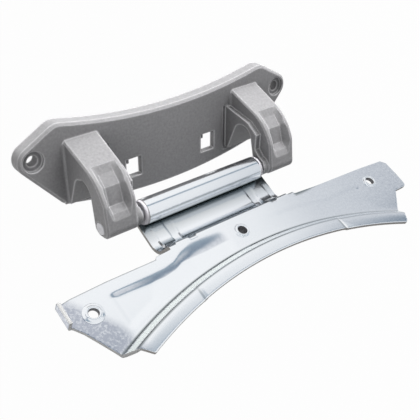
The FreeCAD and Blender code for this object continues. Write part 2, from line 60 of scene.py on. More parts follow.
# Hump: a soft step up between the first two limits, times one down between the last two
def humpAt(value, limits):
    return softStep(value, *limits[:2]) * (1 - softStep(value, *limits[2:]))


# Rounded ramp: 0 below 0 and 1 above 1, as half the difference of two rounded distances
def roundedRamp(share, rounding):
    rise = np.sqrt(share ** 2 + rounding ** 2) - np.sqrt((share - 1) ** 2 + rounding ** 2)
    return 0.5 + 0.5 * rise


# Smooth line: straight runs through the points, averaged over a window as wide as given
def smoothLine(points, width):
    places, values = np.array(points, float).T
    fine = np.arange(places[0] - width, places[-1] + width, 0.25)
    window = np.hanning(max(int(width / 0.25) | 1, 3))
    padded = np.pad(np.interp(fine, places, values), len(window) // 2, mode="edge")
    return fine, np.convolve(padded, window / window.sum(), mode="valid")


# Evenly spaced places between neighbouring stops, never further apart than step
def spaced(stops, step):
    runs = [
        np.linspace(first, last, max(int(np.ceil((last - first) / step)), 1), endpoint=False)
        for first, last in zip(stops, stops[1:])
    ]
    return np.concatenate(runs + [stops[-1:]])


# New object: a mesh, lamp or camera placed in the scene, at the origin and unturned
def newObject(name, data):
    thing = bpy.data.objects.new(name, data)
    bpy.context.scene.collection.objects.link(thing)
    return thing


# New piece: a mesh from whole arrays of points (metres) and faces, riding on a body. Points that
# no face uses are left out, and each mark is stored with the points that stay.
def newPiece(name, points, faces, body, slot, *materials, marks=None):
    used = np.unique(np.concatenate([part.ravel() for part in faces]))
    renumber = np.zeros(len(points), int)
    renumber[used] = np.arange(len(used))
    mesh = bpy.data.meshes.new(name)
    mesh.from_pydata(points[used], [], [face for part in faces for face in renumber[part].tolist()])
    mesh.validate()
    mesh.shade_smooth()
    for label, values in (marks or {}).items():
        mesh.attributes.new(label, "FLOAT", "POINT").data.foreach_set("value", values.ravel()[used])
    for material in materials:
        mesh.materials.append(material)
    piece = newObject(name, mesh)
    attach(piece, body)
    return piece


# New node of a kind, with its settings by name: every material below is built with these helpers
def addNode(tree, kind, **values):
    node = tree.nodes.new(kind)
    for name, value in values.items():
        setattr(node, name, value)
    return node


# Inputs of a node set by name, with an underscore for each space
def setInputs(node, **values):
    for name, value in values.items():
        node.inputs[name.replace("_", " ")].default_value = value
    return node


# Link from one socket to another
def link(tree, fromSocket, toSocket):
    tree.links.new(fromSocket, toSocket)


# One sum or product of two sockets or numbers
def reckon(tree, operation, first, second=0.0, clamp=False):
    node = addNode(tree, "ShaderNodeMath", operation=operation, use_clamp=clamp)
    for index, value in enumerate((first, second)):
        if isinstance(value, (int, float)):
            node.inputs[index].default_value = value
        else:
            link(tree, value, node.inputs[index])
    return node.outputs[0]


# New node group with its inputs (label, kind, value) and outputs (label, kind)
def newGroup(name, inputs, outputs):
    group = bpy.data.node_groups.new(name, "ShaderNodeTree")
    for label, kind, value in inputs:
        socket = group.interface.new_socket(label, in_out="INPUT", socket_type=kind)
        socket.default_value = value
    for label, kind in outputs:
        group.interface.new_socket(label, in_out="OUTPUT", socket_type=kind)
    return group, group.nodes.new("NodeGroupInput"), group.nodes.new("NodeGroupOutput")


# Grain: two sizes of soft noise on object coordinates, as a height between 0 and 1 and a patchy mask
def makeGrainGroup():
    group, start, end = newGroup(
        "grain",
        [("Fine Scale", "NodeSocketFloat", 900.0), ("Patch Scale", "NodeSocketFloat", 40.0)],
        [("Height", "NodeSocketFloat"), ("Patch", "NodeSocketFloat")],
    )
    place = addNode(group, "ShaderNodeTexCoord")
    fine = setInputs(addNode(group, "ShaderNodeTexNoise"), Detail=4.0, Roughness=0.6)
    patch = setInputs(addNode(group, "ShaderNodeTexNoise"), Detail=3.0, Roughness=0.55)
    for noise, scale, out in ((fine, "Fine Scale", "Height"), (patch, "Patch Scale", "Patch")):
        link(group, place.outputs["Object"], noise.inputs["Vector"])
        link(group, start.outputs[scale], noise.inputs["Scale"])
        link(group, noise.outputs["Fac"], end.inputs[out])
    return group


# Rounded edge: the normal of a rounded edge, and a mask of how far it leans from the plain one, for a painted
# highlight
def makeEdgeHighlightGroup():
    group, start, end = newGroup(
        "soft edge",
        [("Radius", "NodeSocketFloat", 0.0005), ("Gain", "NodeSocketFloat", 6.0)],
        [("Normal", "NodeSocketVector"), ("Edge", "NodeSocketFloat")],
    )
    bevel = addNode(group, "ShaderNodeBevel", samples=6)
    link(group, start.outputs["Radius"], bevel.inputs["Radius"])
    plain = addNode(group, "ShaderNodeNewGeometry")
    lean = addNode(group, "ShaderNodeVectorMath", operation="DOT_PRODUCT")
    link(group, bevel.outputs["Normal"], lean.inputs[0])
    link(group, plain.outputs["Normal"], lean.inputs[1])
    away = reckon(group, "SUBTRACT", 1.0, lean.outputs["Value"])
    edge = reckon(group, "MULTIPLY", away, start.outputs["Gain"], clamp=True)
    link(group, bevel.outputs["Normal"], end.inputs["Normal"])
    link(group, edge, end.inputs["Edge"])
    return group


# Hollow: how much of the sky over a point is closed off within the distance, times the gain, as the mask of a
# painted shade
def makeHollowGroup():
    group, start, end = newGroup(
        "hollowShade",
        [("Distance", "NodeSocketFloat", 0.02), ("Gain", "NodeSocketFloat", 1.0)],
        [("Hollow", "NodeSocketFloat")],
    )
    cover = addNode(group, "ShaderNodeAmbientOcclusion", samples=8)
    link(group, start.outputs["Distance"], cover.inputs["Distance"])
    closed = reckon(group, "SUBTRACT", 1.0, cover.outputs["AO"])
    link(group, reckon(group, "MULTIPLY", closed, start.outputs["Gain"], clamp=True), end.inputs["Hollow"])
    return group


grainGroup = makeGrainGroup()
edgeHighlightGroup = makeEdgeHighlightGroup()
hollowGroup = makeHollowGroup()


# New material: its node tree and its main shader come with it
def newMaterial(name):
    material = bpy.data.materials.new(name)
    material.use_nodes = True
    tree = material.node_tree
    return material, tree, tree.nodes["Principled BSDF"]


# Group placed in a material, with its inputs set
def useGroup(tree, group, **values):
    return setInputs(addNode(tree, "ShaderNodeGroup", node_tree=group), **values)


# Mix of two colours, each a constant or a socket, by a factor
def mixColours(tree, first, second, factor):
    mix = addNode(tree, "ShaderNodeMix", data_type="RGBA")
    for socket, value in ((mix.inputs[6], first), (mix.inputs[7], second)):
        if isinstance(value, tuple):
            socket.default_value = (*value, 1)
        else:
            link(tree, value, socket)
    link(tree, factor, mix.inputs[0])
    return mix.outputs[2]


# Bump: the look's share of the grain's height, on the plain normal or the one given
def bumpFrom(tree, grain, shader, look, normal=None):
    bump = setInputs(addNode(tree, "ShaderNodeBump"), Strength=look["bump"], Distance=look["bumpDepth"])
    link(tree, grain.outputs["Height"], bump.inputs["Height"])
    if normal is not None:
        link(tree, normal, bump.inputs["Normal"])
    link(tree, bump.outputs["Normal"], shader.inputs["Normal"])


# Casting: matt grey, finely pitted, with painted shade in its hollows and a painted highlight along its edges
# corner is the colour of the painted shade and edge the colour of the painted highlight
castingLook = {
    "dark": (0.29, 0.285, 0.295), "light": (0.49, 0.485, 0.495), "edge": (0.92, 0.91, 0.93),
    "corner": (0.10, 0.10, 0.105), "grainGain": 1.3, "hollowReach": 0.04, "hollowGain": 0.95,
    "fine": 1500.0, "patch": 900.0, "roughness": 0.5, "metallic": 0.0,
    "bump": 0.35, "bumpDepth": 0.0001, "edgeRadius": 0.0013, "highlightGain": 9.0, "highlightShare": 0.85,
}


# Colour: dark to light by the patches about their middle, then the corner colour, a painted shade, by the
# hollow mask, then the edge colour, a painted highlight, by its share of the edge mask
def castingMaterial():
    look = castingLook
    material, tree, shader = newMaterial("cast aluminium")
    grain = useGroup(tree, grainGroup, Fine_Scale=look["fine"], Patch_Scale=look["patch"])
    edge = useGroup(tree, edgeHighlightGroup, Radius=look["edgeRadius"], Gain=look["highlightGain"])
    hollowShade = useGroup(tree, hollowGroup, Distance=look["hollowReach"], Gain=look["hollowGain"])
    speck = reckon(tree, "SUBTRACT", grain.outputs["Patch"], 0.5)
    speck = reckon(tree, "ADD", reckon(tree, "MULTIPLY", speck, look["grainGain"]), 0.5, clamp=True)
    skin = mixColours(tree, look["dark"], look["light"], speck)
    # painted shade: the corner colour by the hollow mask
    shaded = mixColours(tree, skin, look["corner"], hollowShade.outputs["Hollow"])
    # painted highlight: the edge colour by its share of the edge mask
    share = reckon(tree, "MULTIPLY", edge.outputs["Edge"], look["highlightShare"])
    link(tree, mixColours(tree, shaded, look["edge"], share), shader.inputs["Base Color"])
    bumpFrom(tree, grain, shader, look, edge.outputs["Normal"])
    setInputs(shader, Roughness=look["roughness"], Metallic=look["metallic"])
    return material


# Plate: bright zinc, with a blue tint that is partly painted reflection and shade, a painted pale reflection
# on a satin ramp and painted shade in creases, where the sheet's masks say
plateLook = {
    # The blue colour is a tint and also a painted darker reflection and shade, the satin colour a painted
    # pale reflection, the crease colour a painted shade
    "clean": (0.875, 0.90, 0.93), "satinAndReflection": (0.70, 0.75, 0.735), "tintAndReflection": (0.46, 0.49, 0.56),
    "creaseShade": (0.16, 0.19, 0.20), "fine": 700.0, "patch": 900.0, "speckGain": 3.2,
    "roughness": 0.17, "satinRoughness": 0.3, "bump": 0.03, "bumpDepth": 0.0001,
}


# Colour: clean to the blue tint and painted reflection by its mask, which the patches spread, then the
# satin's painted pale reflection and the painted crease shade by theirs.
# Metallic is 1 less the satin mask, and the roughness grows with it.
def plateMaterial():
    look = plateLook
    material, tree, shader = newMaterial("zinc plate")
    grain = useGroup(tree, grainGroup, Fine_Scale=look["fine"], Patch_Scale=look["patch"])
    tintAndReflection, satinAndReflection, creaseShade = (
        addNode(tree, "ShaderNodeAttribute", attribute_name=name).outputs["Fac"]
        for name in ("tintAndReflection", "satinAndReflection", "creaseShade")
    )
    speck = reckon(tree, "MULTIPLY", reckon(tree, "SUBTRACT", grain.outputs["Patch"], 0.5), tintAndReflection)
    spread = reckon(tree, "ADD", reckon(tree, "MULTIPLY", speck, look["speckGain"]), 1.0)
    # painted reflection and shade: clean to the blue colour by its mask
    skin = mixColours(tree, look["clean"], look["tintAndReflection"], reckon(tree, "MULTIPLY", tintAndReflection, spread, clamp=True))
    # painted pale reflection: the satin colour on the ramp, where the metal is turned off
    skin = mixColours(tree, skin, look["satinAndReflection"], satinAndReflection)
    # painted shade: the crease colour by its mask
    link(tree, mixColours(tree, skin, look["creaseShade"], creaseShade), shader.inputs["Base Color"])
    bumpFrom(tree, grain, shader, look)
    link(tree, reckon(tree, "SUBTRACT", 1.0, satinAndReflection), shader.inputs["Metallic"])
    rough = reckon(tree, "ADD", reckon(tree, "MULTIPLY", satinAndReflection, look["satinRoughness"]), look["roughness"])
    link(tree, rough, shader.inputs["Roughness"])
    return material


# Plain materials: colour, roughness and metallic of each, over one fine grain
plainLook = {
    "fine": 1200.0, "patch": 40.0, "darker": 0.85, "bump": 0.1, "bumpDepth": 0.00005,
    "thread": ((0.20, 0.20, 0.21), 0.5, 0.8),
    "satin steel": ((0.50, 0.50, 0.52), 0.28, 1.0),
    "light grey plastic": ((0.88, 0.86, 0.91), 0.45, 0.0),
}


# Colour: the plain one to a darker share of it, by the patches
def plainMaterial(name):
    look = plainLook
    colour, roughness, metallic = look[name]
    material, tree, shader = newMaterial(name)
    grain = useGroup(tree, grainGroup, Fine_Scale=look["fine"], Patch_Scale=look["patch"])
    shade = mixColours(tree, colour, tuple(c * look["darker"] for c in colour), grain.outputs["Patch"])
    link(tree, shade, shader.inputs["Base Color"])
    bumpFrom(tree, grain, shader, look)
    setInputs(shader, Roughness=roughness, Metallic=metallic)
    return material


# Sheared edge: brown grey, and pale at the upper end
shearedLook = {
    "dark": (0.42, 0.40, 0.38), "pale": (0.60, 0.60, 0.595), "threshold": 0.6, "gain": 4.0,
    "roughness": 0.45, "metallic": 0.1, "fine": 1200.0, "patch": 40.0, "bump": 0.1, "bumpDepth": 0.00005,
}


# Colour: dark to pale by how far the tint and painted reflection mask is above the threshold, times the gain
def shearedMaterial():
    look = shearedLook
    material, tree, shader = newMaterial("sheared edge")
    mask = addNode(tree, "ShaderNodeAttribute", attribute_name="tintAndReflection")
    over = reckon(tree, "SUBTRACT", mask.outputs["Fac"], look["threshold"])
    factor = reckon(tree, "MULTIPLY", over, look["gain"], clamp=True)
    link(tree, mixColours(tree, look["dark"], look["pale"], factor), shader.inputs["Base Color"])
    grain = useGroup(tree, grainGroup, Fine_Scale=look["fine"], Patch_Scale=look["patch"])
    bumpFrom(tree, grain, shader, look)
    setInputs(shader, Roughness=look["roughness"], Metallic=look["metallic"])
    return material


# Dress a node of the frame in one material
def dress(name, material):
    mesh = nodes[name].data
    mesh.materials.clear()
    mesh.materials.append(material)


dress("bracket_casting", castingMaterial())
zinc = plateMaterial()
shearedEdge = shearedMaterial()
threadSteel = plainMaterial("thread")
pinSteel = plainMaterial("satin steel")
plastic = plainMaterial("light grey plastic")
print("materials placed")

# Door plate, in millimetres: x lies along the pin, along is the way down the plate from the
# pin, and height is above the pin's axis
plateShape = {
    "pin": (-26.7, -30.7), "shift": 0.7, "tilt": 25.0, "top": 5.4, "sheet": 1.5,
    "knuckleInside": 4.4, "seam": 250.0, "leaves": -60.0, "knuckleEnds": (-34.0, 32.0),
    "strip": ((0.0, -5.947), (-14.49, -14.32), (-22.538, -5.379)), "stripEnd": 3.0,
    "bends": (7.25, 1.25), "lead": 5.0, "leadRows": 6, "bendRows": 12, "rollRows": 60,
    "troughHalf": 37.2, "bandRaise": 1.6, "crestStep": 0.7,
    "bandMiddle": 22.3, "bandOuter": (26.4, 33.3), "bandSoft": 0.5,
    "rimCentre": 238.5, "foot": 199.8, "rampTop": 196.0, "free": 189.9, "rampRounding": 0.14,
    "rimHeight": 4.4, "rimExtra": 0.7, "joggles": ((-41.0, -39.2), (42.8, 44.4)),
    "wallRounding": 0.22, "floorRounding": 0.12,
    "pit": {"x": 71.5, "along": 36.4, "deep": 0.12, "spread": 0.35},
    "wave": {"high": 0.03, "acrossLength": 17.0, "acrossStart": 0.6, "alongLength": 9.0},
    "upperEdge": (
        (-91.2, 27.9), (-90.5, 26.9), (-86.5, 26.3), (-70.0, 25.8), (-46.0, 26.0), (-44.8, 24.8),
        (-37.2, 24.5), (37.2, 24.0), (49.9, 24.9), (65.7, 25.5), (82.3, 26.1), (98.4, 27.2), (101.2, 30.0),
    ),
    "leftEnd": (
        (-91.2, 37.6), (-90.9, 38.1), (-88.4, 41.5), (-86.0, 46.0), (-83.4, 51.0), (-80.9, 55.8),
        (-75.2, 58.1), (-71.4, 62.2), (-70.4, 62.4), (-69.4, 61.7),
    ),
    "rightEnd": (
        (73.2, 63.3), (74.3, 64.3), (75.5, 64.65), (76.8, 64.5), (77.8, 63.7), (80.0, 60.0), (82.0, 56.3),
        (91.6, 45.85), (98.6, 45.85), (99.7, 45.4), (100.2, 44.2), (101.2, 30.05),
    ),
    "tabBend": 0.6, "tabRise": 3.8, "columnStep": 0.75,
    "upperRound": 0.45, "roundRows": (0, 0.2, 0.5), "upperRows": (14, 18, 24),
    "rimRows": ((203.0, 201.0, 4), (200.6, 195.2, 19)), "freeRows": (194.6, 7), "leastRow": 0.12,
    "edgeWidth": 0.00012, "edgeAngle": 55.0,
}
holeShape = {
    # x, along, height of the dish round the collar, depth of the sleeve
    "places": ((-81.4, 36.0, 0.35, 1.6), (-1.6, 30.4, 0.0, 4.8), (81.4, 35.2, 0.0, 1.6)),
    "bore": 2.1, "thread": 0.14, "pitch": 0.8, "outer": 3.3, "rise": 0.85, "dish": 4.5, "cut": 2.8,
    "still": 0.2, "boreEnds": (0.1, 0.35), "rowStep": 0.1,
    # corners of the profile, each out from the place named and up from the height named
    "mouth": ((0.25, -0.05), (0.4, 0.0)),
    "crown": ((-0.35, 0.0), (-0.1, -0.1), (0.0, -0.35)),
    "skirt": ((0.05, 0.25), (0.2, 0.04), (0.5, -0.05)),
    "dishInner": ((0.1, 0.1), (0.3, 0.0)), "dishOuter": ((-0.3, 0.0), (-0.05, -0.12)),
    "dishFoot": ((0.1, -0.05),),
    "under": ((-0.1, -0.4),), "sleeve": ((-0.1, 0.05), (-0.2, 0.0)), "entry": ((0.2, 0.0),),
}


# Row point in metres from a place beside the pin: a is the row's Y and b its X, from the pin
def fromPin(x, a, b):
    pinX, pinY = plateShape["pin"]
    return np.stack([pinX + b, pinY + a, -(x + plateShape["shift"])], axis=-1) / 1000


# Row point from a place on the plate: along and height turned by the tilt about the pin
def fromPlate(x, along, height):
    tilt = np.radians(plateShape["tilt"])
    return fromPin(x, -along * np.cos(tilt) - height * np.sin(tilt),
                   height * np.cos(tilt) - along * np.sin(tilt))


# Along of a long arc about the glass centre: the centre less the root of radius squared less x squared
def onArc(radius, x):
    return plateShape["rimCentre"] - np.sqrt(radius ** 2 - x ** 2)


# Bent line: a straight lead and an arc at each bend, joined by straight runs, moved aside by offset
def bentLine(corners, offset):
    shape = plateShape
    corners = np.array(corners, float)
    ways = np.diff(corners, axis=0)
    ways /= np.linalg.norm(ways, axis=1, keepdims=True)
    aside = np.array([ways[0][1], -ways[0][0]])
    lead = np.linspace(0, shape["lead"], shape["leadRows"])
    parts = [corners[0] + aside * offset + np.outer(lead, ways[0])]
    for index, radius in enumerate(shape["bends"]):
        before, after = ways[index], ways[index + 1]
        turn = np.arctan2(before[0] * after[1] - before[1] * after[0], before @ after)
        aside = np.array([before[1], -before[0]]) * np.sign(turn)
        start = corners[index + 1] - before * radius * np.tan(abs(turn) / 2)
        angles = turn * np.linspace(0, 1, shape["bendRows"])
        spokes = np.outer(np.cos(angles), aside) + np.outer(np.sin(angles), [-aside[1], aside[0]])
        parts.append(start - aside * radius + spokes * (radius + np.sign(turn) * offset))
    return np.concatenate(parts)


# Bands: 1 on the three raised bands of the trough and 0 in the grooves, by soft steps
def bandsAt(x):
    shape = plateShape
    edge, inner, outer, soft = abs(x), shape["bandOuter"][0], shape["bandOuter"][1], shape["bandSoft"] / 2
    band = 1 - softStep(edge, shape["bandMiddle"] - soft, shape["bandMiddle"] + soft)
    return band + softStep(edge, inner - soft, inner + soft) - softStep(edge, outer - soft, outer + soft)


# Knuckle and trough: for each column the sheet's upper line from the seam round the pin, down
# its run, through the trough and over the crest. The bands of the trough stand a little higher.
def stripLines(x):
    shape = plateShape
    half = shape["sheet"] / 2
    start, bottom, crest = (np.array(corner) for corner in shape["strip"])
    tilt = np.radians(shape["tilt"])
    down = np.array([np.cos(tilt), np.sin(tilt)])
    end = crest - shape["stripEnd"] * down
    toStart, toCrest = start - bottom, crest - bottom
    inward = toStart / np.linalg.norm(toStart) + toCrest / np.linalg.norm(toCrest)
    raised = bottom + shape["bandRaise"] * inward / np.linalg.norm(inward)
    low = bentLine((start, bottom, crest - shape["crestStep"] * down, end), half)
    high = bentLine((start, raised, crest, end), half)
    trough = low[:, None, :] + (high - low)[:, None, :] * bandsAt(x)[None, :, None]
    angles = np.radians(np.linspace(shape["seam"], shape["leaves"], shape["rollRows"]))
    roll = shape["knuckleInside"] * np.stack([np.cos(angles), np.sin(angles)], axis=1)
    return roll[:, None, :] * np.ones((1, len(x), 1)), trough


# Recess: a wall that falls from its top line to its foot line, a side wall, and a floor that
# rises again towards the rim. Each line is pairs of the distance out from the middle and a value.
# Each recess also gives the strength of a painted shade along its wall
recesses = (
    {
        "side": -1, "end": (73.2, 69.0), "window": 3.0, "tintAndReflection": 0.5,
        "fade": ((9, 0.0), (13, 0.7), (22, 1.1), (32, 1.15), (38, 0.8), (45, 0.55), (75, 0.52)),
        "top": (
            (9, 25.8), (19.3, 25.6), (27.6, 25.6), (34.1, 27.6), (39.3, 30.3), (44.5, 31.1),
            (52.1, 31.3), (61.9, 31.4), (68.5, 31.4), (75, 31.4),
        ),
        "foot": (
            (9, 32.1), (13.3, 32.1), (22.5, 32.3), (32.2, 32.1), (35.8, 32.0), (40.8, 34.0),
            (47.1, 34.9), (54.2, 34.5), (63.4, 33.7), (69.8, 33.5), (75, 33.5),
        ),
        "near": ((9, 0.5), (52, 0.5), (58, 3.0), (75, 3.0)),
        "far": ((9, 11.0), (52, 11.5), (57, 5.4), (75, 5.2)),
    },
    {
        "side": 1, "end": (74.0, 71.6), "window": 3.0, "tintAndReflection": 0.0,
        "fade": ((9, 0.0), (22, 0.12), (40, 0.08), (75, 0.08)),
        "top": ((9, 27.0), (22, 28.6), (32, 29.2), (40, 31.0), (50, 33.0), (75, 33.4)),
        "foot": ((9, 30.2), (22, 31.4), (32, 31.8), (40, 33.4), (50, 35.4), (75, 35.6)),
        "near": ((9, 0.5), (50, 1.0), (75, 3.0)),
        "far": ((9, 9.0), (50, 8.0), (75, 6.0)),
    },
)


# Recess lines at x: each named line's value at the distance out on the recess's side
def recessLines(look, x, *keys):
    return [np.interp(x * look["side"], *smoothLine(look[key], look["window"])) for key in keys]


# Recess depth: the sum over both sides of the product of fade, wall, side wall and floor
def recessDepth(x, along, fromRim):
    depth = np.zeros_like(along)
    for look in recesses:
        out = x * look["side"]
        top, foot, fade, near, far = recessLines(look, x, "top", "foot", "fade", "near", "far")
        wall = roundedRamp((along - top) / (foot - top), plateShape["wallRounding"])
        floor = roundedRamp((fromRim - near) / (far - near), plateShape["floorRounding"])
        depth += np.where(out > 0, fade * wall * softStep(out, *look["end"]) * floor, 0)
    return depth


# Plate's upper surface: level, less the recesses, plus the rim's ramp and its higher middle
def plateHeightAt(x, along):
    shape, pit, wave = plateShape, plateShape["pit"], plateShape["wave"]
    radius = np.hypot(x, shape["rimCentre"] - along)
    left, right = shape["joggles"]
    middle = softStep(x, *left) - softStep(x, *right)
    ramp = roundedRamp((shape["foot"] - radius) / (shape["foot"] - shape["rampTop"]), shape["rampRounding"])
    rim = (shape["rimHeight"] + shape["rimExtra"] * middle) * ramp
    recess = recessDepth(x, along, radius - shape["foot"]) * (1 - ramp)
    dent = pit["deep"] * np.exp(-((x - pit["x"]) ** 2 + (along - pit["along"]) ** 2) / pit["spread"])
    across = np.sin(x / wave["acrossLength"] + wave["acrossStart"])
    return shape["top"] + rim - recess - dent + wave["high"] * across * np.sin(along / wave["alongLength"])


# Marks on the sheet: limits are where soft steps start and end, in millimetres, in shares of a
# slope or in rows of the strip
plateMarks = {
    # lowLeft, right, wedge and knuckle shape the tint mask: a blue tint at the low left that is partly
    # painted reflection, a painted darker reflection to the right and on the knuckle, and a painted highlight
    # in the wedge
    "lowLeft": {"tintAndReflection": 0.95, "lean": 1.35, "from": -87.0, "along": (24.0, 34.0), "x": (-70.0, -77.0)},
    "right": (((6.0, 46.0), 0.34), ((50.0, 98.0), 0.2)),
    "wedge": {"x": (42.6, 43.2), "lean": 1.4, "from": 190.0, "end": (49.0, 51.0), "radius": (196.0, 195.0)},
    "wall": (0, 0.55, 0.85, 1), "wallOut": (9, 14),
    "knuckle": {"tintAndReflection": 0.2, "x": (-10.0, 34.0)},
    "satinAndReflection": {"share": 0.85, "ramp": (0.12, 0.3, 0.7, 0.88), "loss": 0.75, "x": (-25.0, 15.0)},
    # the rest place painted dark lines: shade and dark reflection at the ramp's bends, the joggles, the
    # knuckle's seam, the trough and beside the upper edge
    "rampBends": {"share": 0.95, "foot": (0.45, 1.0), "rampTop": (0.4, 0.8), "loss": 0.5, "x": (20.0, 70.0)},
    "joggleLines": {"places": ((42.4, 0.6), (-40.6, 0.45)), "wide": 0.4, "fade": 1.5},
    "seam": {"first": (4, 0), "last": 8},
    "trough": (
        (0, 1), (3, 1), (5, 0.5), (6, 0), (8, 0), (15, 0), (17, 0.5), (19, 0.9), (23, 0.6), (26, 0),
    ),
    "bands": ((7, 0), (9, 0.35), (11, 0.35), (13, 0)), "bandsFrom": (21.0, 22.0),
    "upperEdgeShade": {
        "left": (-45.5, 0.55), "right": ((36.0, 37.5, 44.0, 56.0), 0.9),
        "wide": 0.7, "wider": 1.5, "narrows": (38.0, 52.0), "gain": 1.6,
    },
}


# Tint and reflection mask: strong at the far left and low end, a blue tint there that is partly painted
# reflection, growing towards the right as a painted darker reflection but for a wedge of the rim left clear
# as a painted highlight, and strong on the recess walls as painted shade, where it is a hump over the wall's
# fall
def tintAndReflectionAt(x, along):
    low, wedge = plateMarks["lowLeft"], plateMarks["wedge"]
    lowLeft = softStep(along - low["lean"] * (x - low["from"]), *low["along"]) * softStep(x, *low["x"])
    right = sum(share * softStep(x, *limits) for limits, share in plateMarks["right"])
    radius = np.hypot(x, plateShape["rimCentre"] - along)
    slanted = x + wedge["lean"] * (radius - wedge["from"])
    clear = softStep(x, *wedge["x"]) * (1 - softStep(slanted, *wedge["end"]))
    right = right * (1 - clear * softStep(radius, *wedge["radius"]))
    walls = np.zeros_like(along)
    for look in recesses:
        out = x * look["side"]
        top, foot = recessLines(look, x, "top", "foot")
        hump = humpAt((along - top) / (foot - top), plateMarks["wall"])
        walls += look["tintAndReflection"] * hump * softStep(out, *plateMarks["wallOut"]) * softStep(out, *look["end"])
    return np.clip(low["tintAndReflection"] * lowLeft + right + walls, 0, 1)


# Ramp masks: satin is a hump over the ramp's flat middle, a painted pale reflection there. The creases are
# narrow bells of painted shade and dark reflection at its two bends, and at the joggles above it. Both weaken
# towards the right.
def rampMasks(x, along):
    shape = plateShape
    satinAndReflection, bends, joggles = (plateMarks[key] for key in ("satinAndReflection", "rampBends", "joggleLines"))
    radius = np.hypot(x, shape["rimCentre"] - along)
    share = (shape["foot"] - radius) / (shape["foot"] - shape["rampTop"])
    dull = satinAndReflection["share"] * humpAt(share, satinAndReflection["ramp"]) * (1 - satinAndReflection["loss"] * softStep(x, *satinAndReflection["x"]))
    bells = sum(
        bends[key][1] * np.exp(-((radius - shape[key]) / bends[key][0]) ** 2) for key in ("foot", "rampTop")
    )
    bells = bends["share"] * bells * (1 - bends["loss"] * softStep(x, *bends["x"]))
    ticks = sum(dark * np.exp(-((x - place) / joggles["wide"]) ** 2) for place, dark in joggles["places"])
    return dull, bells + ticks * softStep(radius, shape["rampTop"], shape["rampTop"] - joggles["fade"])


# Strip crease shade: painted shade, 1 at the knuckle's seam and where it meets the trough, then the trough's
# own painted dark lines of shade and reflection by row, with fainter ones on its bands
def stripCreaseShade(x, rollRows, troughRows):
    marks = plateMarks
    rollRow, troughRow = np.arange(rollRows)[:, None], np.arange(troughRows)[:, None]
    seam = softStep(rollRow, *marks["seam"]["first"])
    seam = seam + softStep(rollRow, rollRows - marks["seam"]["last"], rollRows) + 0 * x
    deep = np.interp(troughRow, *np.array(marks["trough"]).T) + 0 * x
    onBands = np.interp(troughRow, *np.array(marks["bands"]).T)
    onBands = onBands * bandsAt(x) * softStep(abs(x), *marks["bandsFrom"])
    return np.concatenate([np.minimum(seam, 1), np.maximum(deep, onBands)])


# Upper edge shade: a painted dark line beside the upper edge, left of one place and over a hump on the right,
# that fades with the distance from the edge over its width
def upperEdgeShade(x, fromUpper):
    line = plateMarks["upperEdgeShade"]
    (leftEnd, leftDark), (limits, rightDark) = line["left"], line["right"]
    dark = leftDark * (x < leftEnd) + rightDark * humpAt(x, limits)
    wide = line["wide"] + np.where(x < 0, 0, line["wider"] * (1 - softStep(x, *line["narrows"])))
    return dark * np.clip(line["gain"] * (1 - fromUpper / wide), 0, 1)


# Soft edges: a bevel of one face, as wide as given in metres
def softenEdges(piece, width):
    edge = piece.modifiers.new("edges", "BEVEL")
    edge.width = width
    edge.segments = 1
    return edge


# Grid faces: rows by columns of vertex numbers, as quads, or triangles where a side has shrunk to a point
def gridFaces(numbers, keep):
    a, b = numbers[:-1, :-1], numbers[1:, :-1]
    c, d = numbers[1:, 1:], numbers[:-1, 1:]
    quads = np.stack([a, b, c, d], axis=-1)
    whole = keep & (a != b) & (c != d) & (a != d) & (b != c)
    leftPoint = keep & (a == b) & (c != d)
    otherPoint = keep & (((a != b) & (c == d)) | ((a == d) & (b != c)))
    lastPoint = keep & (a != d) & (b == c)
    return [
        quads[whole], quads[leftPoint][:, [0, 2, 3]], quads[otherPoint][:, [0, 1, 2]],
        quads[lastPoint][:, [0, 1, 3]],
    ]


# Columns: u is measured along the sheet, with a stop at each corner. Past the bend the sheet turns
# up through a quarter circle and then rises straight, so x stands still and the lift grows.
def plateColumns():
    shape = plateShape
    bendX, bend, soft = shape["upperEdge"][0][0], shape["tabBend"], shape["bandSoft"] / 2
    quarter = bend * np.pi / 2
    bands = (shape["bandMiddle"], *shape["bandOuter"])
    stops = sorted({
        bendX - quarter - shape["tabRise"], bendX - quarter, *shape["knuckleEnds"],
        *(corner[0] for key in ("upperEdge", "leftEnd", "rightEnd") for corner in shape[key]),
        *(sign * (place + aside) for sign in (-1, 1) for aside in (-soft, soft) for place in bands),
    })
    u = spaced(np.array(stops), shape["columnStep"])
    past = np.maximum(bendX - u, 0)
    turn = np.minimum(past / bend, np.pi / 2)
    x = np.maximum(u, bendX) - bend * np.sin(turn)
    return u, x, bend * (1 - np.cos(turn)) + np.maximum(past - quarter, 0), past > 0


